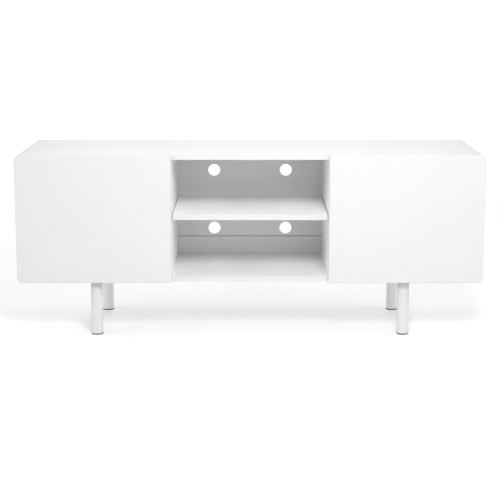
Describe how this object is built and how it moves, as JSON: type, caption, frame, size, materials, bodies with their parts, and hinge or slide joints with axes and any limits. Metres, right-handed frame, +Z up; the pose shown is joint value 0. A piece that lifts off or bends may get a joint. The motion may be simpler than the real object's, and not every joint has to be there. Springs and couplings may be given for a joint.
{
  "type": "tv stand with doors",
  "caption": "Low, wide television stand with an open shelved centre bay, a handle-less door on each side, cable holes in the back and plain round legs.",
  "frame": {"origin": "on the ground, under the middle of the stand's footprint", "axes": "+X to the right as one faces the doors, +Y to the back, +Z up"},
  "size_m": [1.5, 0.4, 0.595],
  "materials": {
    "white_veneer": "satin white open-pore lacquer over ash veneer",
    "white_hardboard": "matt white foil",
    "white_turned_wood": "satin white lacquer on turned wood",
    "beech": "raw",
    "zinc": "cast zinc alloy",
    "nickel": "nickel plated",
    "steel": "bright zinc plated",
    "white_plastic": "matt moulded",
    "grey_plastic": "matt moulded",
    "dark_plastic": "matt felt-faced plastic"
  },
  "bodies": {
    "carcass": {"bottom_panel": "white_veneer", "cam_bolts": "steel", "cam_nuts": "zinc", "centre_back_panel": "white_hardboard", "centre_back_strip": "white_hardboard", "centre_shelf": "white_veneer", "dowels": "beech", "front_left_leg": "white_turned_wood", "front_right_leg": "white_turned_wood", "hanger_bolts": "steel", "hinge_arm_screws": "steel", "hinge_plate_screws": "steel", "latch_screws": "steel", "left_back_panel": "white_hardboard", "left_divider": "white_veneer", "left_hinge_arms": "nickel", "left_hinge_plates": "nickel", "left_latch_body": "white_plastic", "left_shelf": "white_veneer", "left_side_panel": "white_veneer", "leg_glides": "dark_plastic", "leg_plate_screws": "steel", "leg_plates": "steel", "rear_left_leg": "white_turned_wood", "rear_right_leg": "white_turned_wood", "right_back_panel": "white_hardboard", "right_divider": "white_veneer", "right_hinge_arms": "nickel", "right_hinge_plates": "nickel", "right_latch_body": "white_plastic", "right_shelf": "white_veneer", "right_side_panel": "white_veneer", "shelf_pins": "nickel", "top_panel": "white_veneer"},
    "left_door": {"left_door": "white_veneer", "left_hinge_cups": "nickel", "left_cup_screws": "steel", "left_hinge_pins": "nickel", "left_strike_plate": "steel"},
    "right_door": {"right_door": "white_veneer", "right_hinge_cups": "nickel", "right_cup_screws": "steel", "right_hinge_pins": "nickel", "right_strike_plate": "steel"},
    "left_plunger": {"left_latch_plunger": "grey_plastic"},
    "right_plunger": {"right_latch_plunger": "grey_plastic"}
  },
  "joints": [
    {"name": "left_door_hinge", "type": "hinge", "parent": "carcass", "child": "left_door", "pos_m": [-0.7425, -0.191, 0.3875], "axis": [0, 0, -1], "range_deg": [0, 95]},
    {"name": "left_plunger_slide", "type": "slide", "parent": "carcass", "child": "left_plunger", "axis": [0, -1, 0], "range_m": [0, 0.02]},
    {"name": "right_door_hinge", "type": "hinge", "parent": "carcass", "child": "right_door", "pos_m": [0.7425, -0.191, 0.3875], "axis": [0, 0, 1], "range_deg": [0, 95]},
    {"name": "right_plunger_slide", "type": "slide", "parent": "carcass", "child": "right_plunger", "axis": [0, -1, 0], "range_m": [0, 0.02]}
  ],
  "couplings": [
    {"joint": "left_plunger_slide", "follows": "left_door_hinge", "m_per_rad": 0.01206},
    {"joint": "right_plunger_slide", "follows": "right_door_hinge", "m_per_rad": 0.01206}
  ]
}
